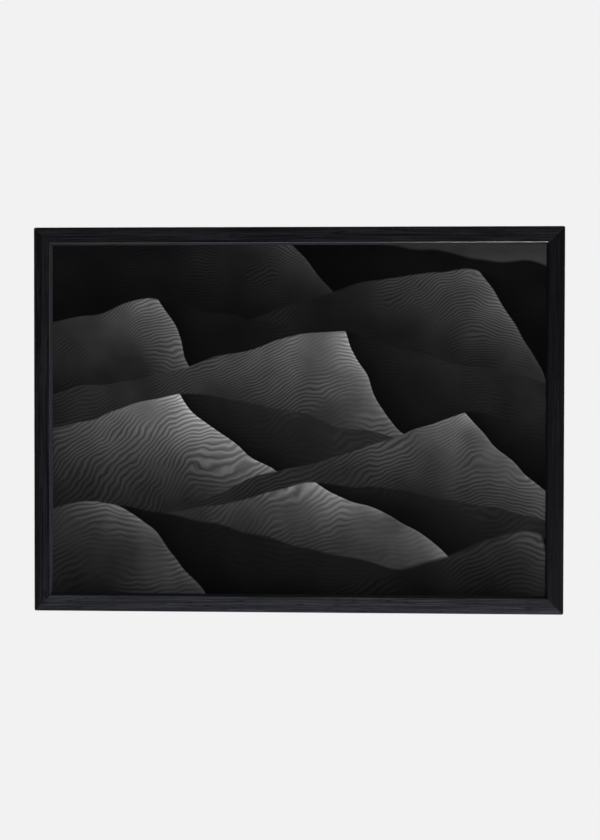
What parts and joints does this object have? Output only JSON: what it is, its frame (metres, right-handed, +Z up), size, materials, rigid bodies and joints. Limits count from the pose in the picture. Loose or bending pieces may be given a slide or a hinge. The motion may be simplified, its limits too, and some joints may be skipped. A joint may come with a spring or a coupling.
{
  "type": "framed picture",
  "caption": "Landscape wall picture: mitred black-stained wood frame around a recessed clear pane, dark monochrome print and backing board, hung on a toothed plate behind.",
  "frame": {"origin": "top of the middle notch in the landscape hanger on the back, where the nail bears", "axes": "+X to the right as seen from the front, +Y into the wall (the front looks along -Y), +Z up"},
  "size_m": [0.734, 0.024, 0.534],
  "materials": {
    "stained_wood": "black stain over open wood grain, satin",
    "clear_acrylic": "clear, polished",
    "printed_paper": "matte photo paper with a dark monochrome print",
    "hardboard": "pressed brown fibreboard, dull",
    "zinc_steel": "bright zinc plating"
  },
  "bodies": {
    "root": {"rail_top": "stained_wood", "rail_right": "stained_wood", "rail_bottom": "stained_wood", "rail_left": "stained_wood", "pane": "clear_acrylic", "print": "printed_paper", "backing_board": "hardboard", "hanger_landscape": "zinc_steel", "hanger_portrait": "zinc_steel", "rivet_landscape_left": "zinc_steel", "rivet_landscape_right": "zinc_steel", "rivet_portrait_left": "zinc_steel", "rivet_portrait_right": "zinc_steel", "tab_top_1": "zinc_steel", "tab_top_2": "zinc_steel", "tab_top_3": "zinc_steel", "tab_top_4": "zinc_steel", "tab_right_1": "zinc_steel", "tab_right_2": "zinc_steel", "tab_right_3": "zinc_steel", "tab_right_4": "zinc_steel", "tab_bottom_1": "zinc_steel", "tab_bottom_2": "zinc_steel", "tab_bottom_3": "zinc_steel", "tab_bottom_4": "zinc_steel", "tab_left_1": "zinc_steel", "tab_left_2": "zinc_steel", "tab_left_3": "zinc_steel", "tab_left_4": "zinc_steel", "corner_nail_top_right_1": "zinc_steel", "corner_nail_top_right_2": "zinc_steel", "corner_nail_bottom_right_1": "zinc_steel", "corner_nail_bottom_right_2": "zinc_steel", "corner_nail_bottom_left_1": "zinc_steel", "corner_nail_bottom_left_2": "zinc_steel", "corner_nail_top_left_1": "zinc_steel", "corner_nail_top_left_2": "zinc_steel"}
  },
  "joints": []
}
